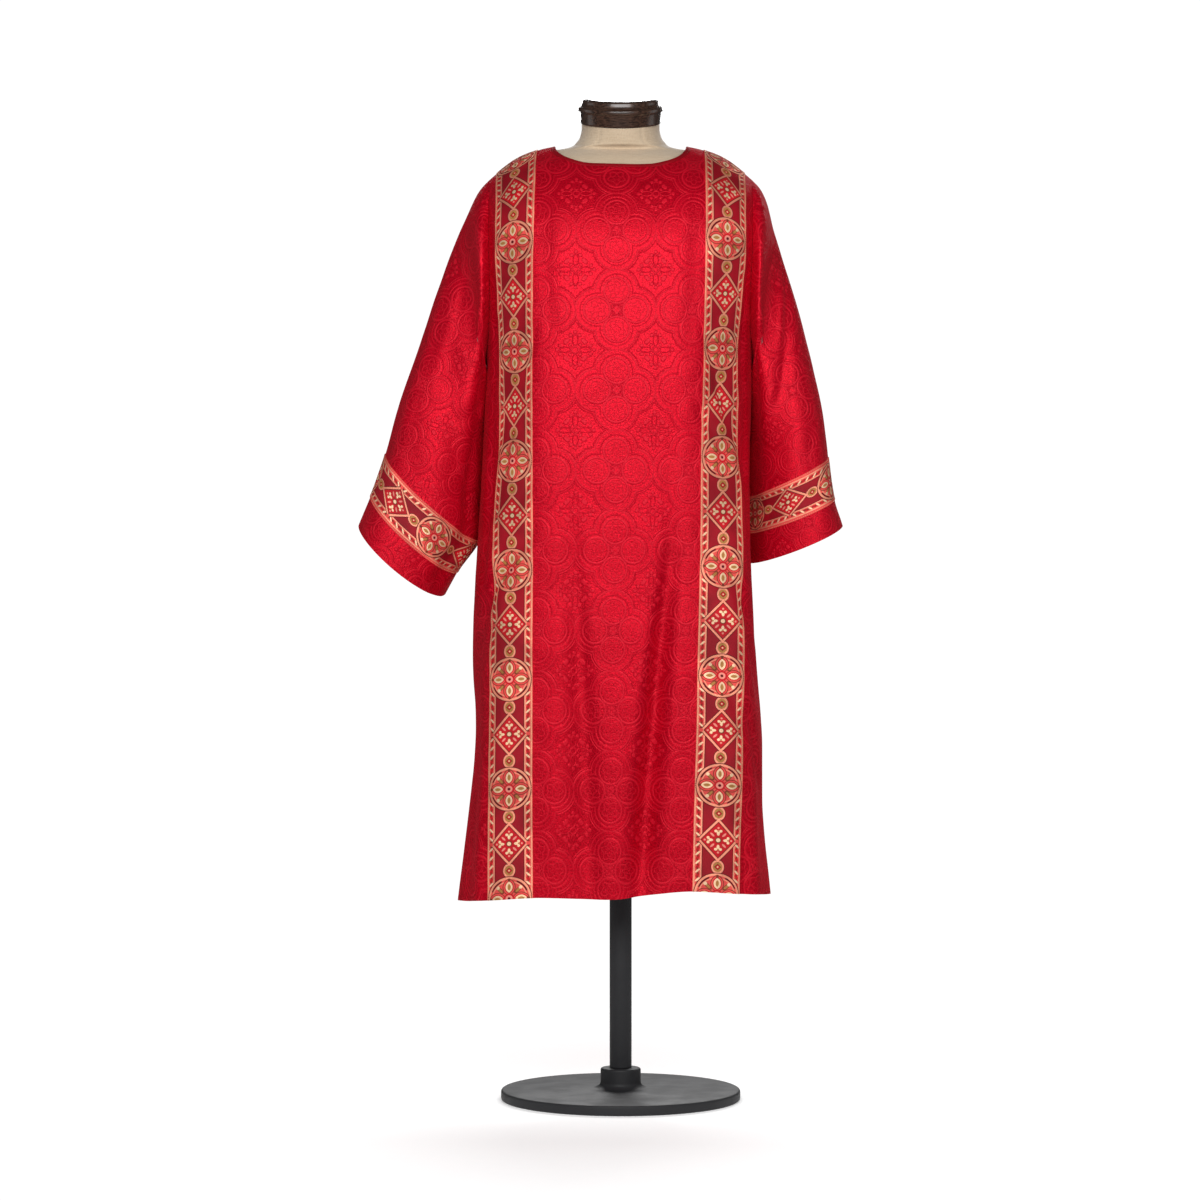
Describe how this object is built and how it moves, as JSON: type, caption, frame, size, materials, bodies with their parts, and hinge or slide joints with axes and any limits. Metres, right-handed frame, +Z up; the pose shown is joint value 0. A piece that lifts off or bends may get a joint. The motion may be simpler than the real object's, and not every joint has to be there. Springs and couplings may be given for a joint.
{
  "type": "dalmatic on a dress form",
  "caption": "Red brocade dalmatic with woven orphrey bands on a limbless dress form with a neck cap, pole and round base.",
  "frame": {"origin": "on the floor, at the middle of the base's underside, under the pole", "axes": "+Z up along the pole; -Y is the front of the garment; -X is the wearer's right sleeve"},
  "size_m": [0.7663, 0.38, 1.6027],
  "materials": {
    "brocade": "satin jacquard with a tone-on-tone medallion pattern",
    "galloon": "woven gold and burgundy ribbon",
    "linen": "matt plain weave",
    "dark_wood": "dark satin lacquer",
    "black_steel": "fine black powder coat"
  },
  "bodies": {
    "root": {"front_panel": "brocade", "back_panel": "brocade", "sleeve_right": "brocade", "sleeve_left": "brocade", "neck_binding": "brocade", "orphrey_right": "galloon", "orphrey_left": "galloon", "cuff_band_right": "galloon", "cuff_band_left": "galloon", "form_torso": "linen", "neck_cap": "dark_wood", "stand_pole": "black_steel", "stand_base": "black_steel"}
  },
  "joints": []
}
